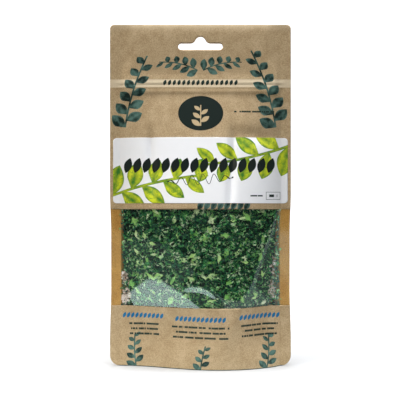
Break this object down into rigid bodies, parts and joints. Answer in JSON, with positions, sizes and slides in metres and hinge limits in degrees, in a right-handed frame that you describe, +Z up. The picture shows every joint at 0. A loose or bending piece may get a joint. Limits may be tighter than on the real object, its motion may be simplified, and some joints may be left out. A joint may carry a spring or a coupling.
{
  "type": "stand-up pouch of dried sea lettuce flakes",
  "caption": "Filled kraft stand-up pouch with a clear window band over dried sea lettuce flakes, a blank label, a press-to-close zip, a hang slot and a folded base gusset.",
  "frame": {"origin": "centre of the base, on the surface the pouch stands on, midway between its front and back", "axes": "+Z up, the front with the window faces -Y"},
  "size_m": [0.13, 0.0482, 0.245],
  "materials": {
    "kraft_paper": "satin",
    "lined_kraft": "satin",
    "clear_film": "gloss",
    "label_paper": "satin",
    "zip_plastic": "gloss",
    "dried_frond": "matte",
    "pale_frond": "matte"
  },
  "bodies": {
    "root": {"back_panel": "lined_kraft", "front_film": "clear_film", "upper_kraft_panel": "kraft_paper", "lower_kraft_panel": "kraft_paper", "label": "label_paper", "bottom_gusset": "kraft_paper", "zip_rib_strip": "zip_plastic", "zip_groove_strip": "zip_plastic", "flake_heap": "dried_frond", "leaf_flake_01": "pale_frond", "leaf_flake_02": "dried_frond", "leaf_flake_03": "dried_frond", "leaf_flake_04": "pale_frond", "leaf_flake_05": "dried_frond", "leaf_flake_06": "dried_frond", "leaf_flake_07": "pale_frond", "leaf_flake_08": "dried_frond", "leaf_flake_09": "dried_frond", "leaf_flake_10": "pale_frond", "leaf_flake_11": "dried_frond", "leaf_flake_12": "dried_frond", "leaf_flake_13": "pale_frond", "leaf_flake_14": "dried_frond", "leaf_flake_15": "dried_frond", "leaf_flake_16": "pale_frond", "leaf_flake_17": "dried_frond", "leaf_flake_18": "dried_frond", "leaf_flake_19": "pale_frond", "leaf_flake_20": "dried_frond", "leaf_flake_21": "dried_frond", "leaf_flake_22": "pale_frond", "leaf_flake_23": "dried_frond", "leaf_flake_24": "dried_frond", "leaf_flake_25": "pale_frond", "leaf_flake_26": "dried_frond", "leaf_flake_27": "dried_frond", "leaf_flake_28": "pale_frond", "leaf_flake_29": "dried_frond", "leaf_flake_30": "dried_frond", "leaf_flake_31": "pale_frond", "leaf_flake_32": "dried_frond", "leaf_flake_33": "dried_frond", "leaf_flake_34": "pale_frond", "leaf_flake_35": "dried_frond", "leaf_flake_36": "dried_frond", "leaf_flake_37": "pale_frond", "leaf_flake_38": "dried_frond", "leaf_flake_39": "dried_frond", "leaf_flake_40": "pale_frond"}
  },
  "joints": []
}
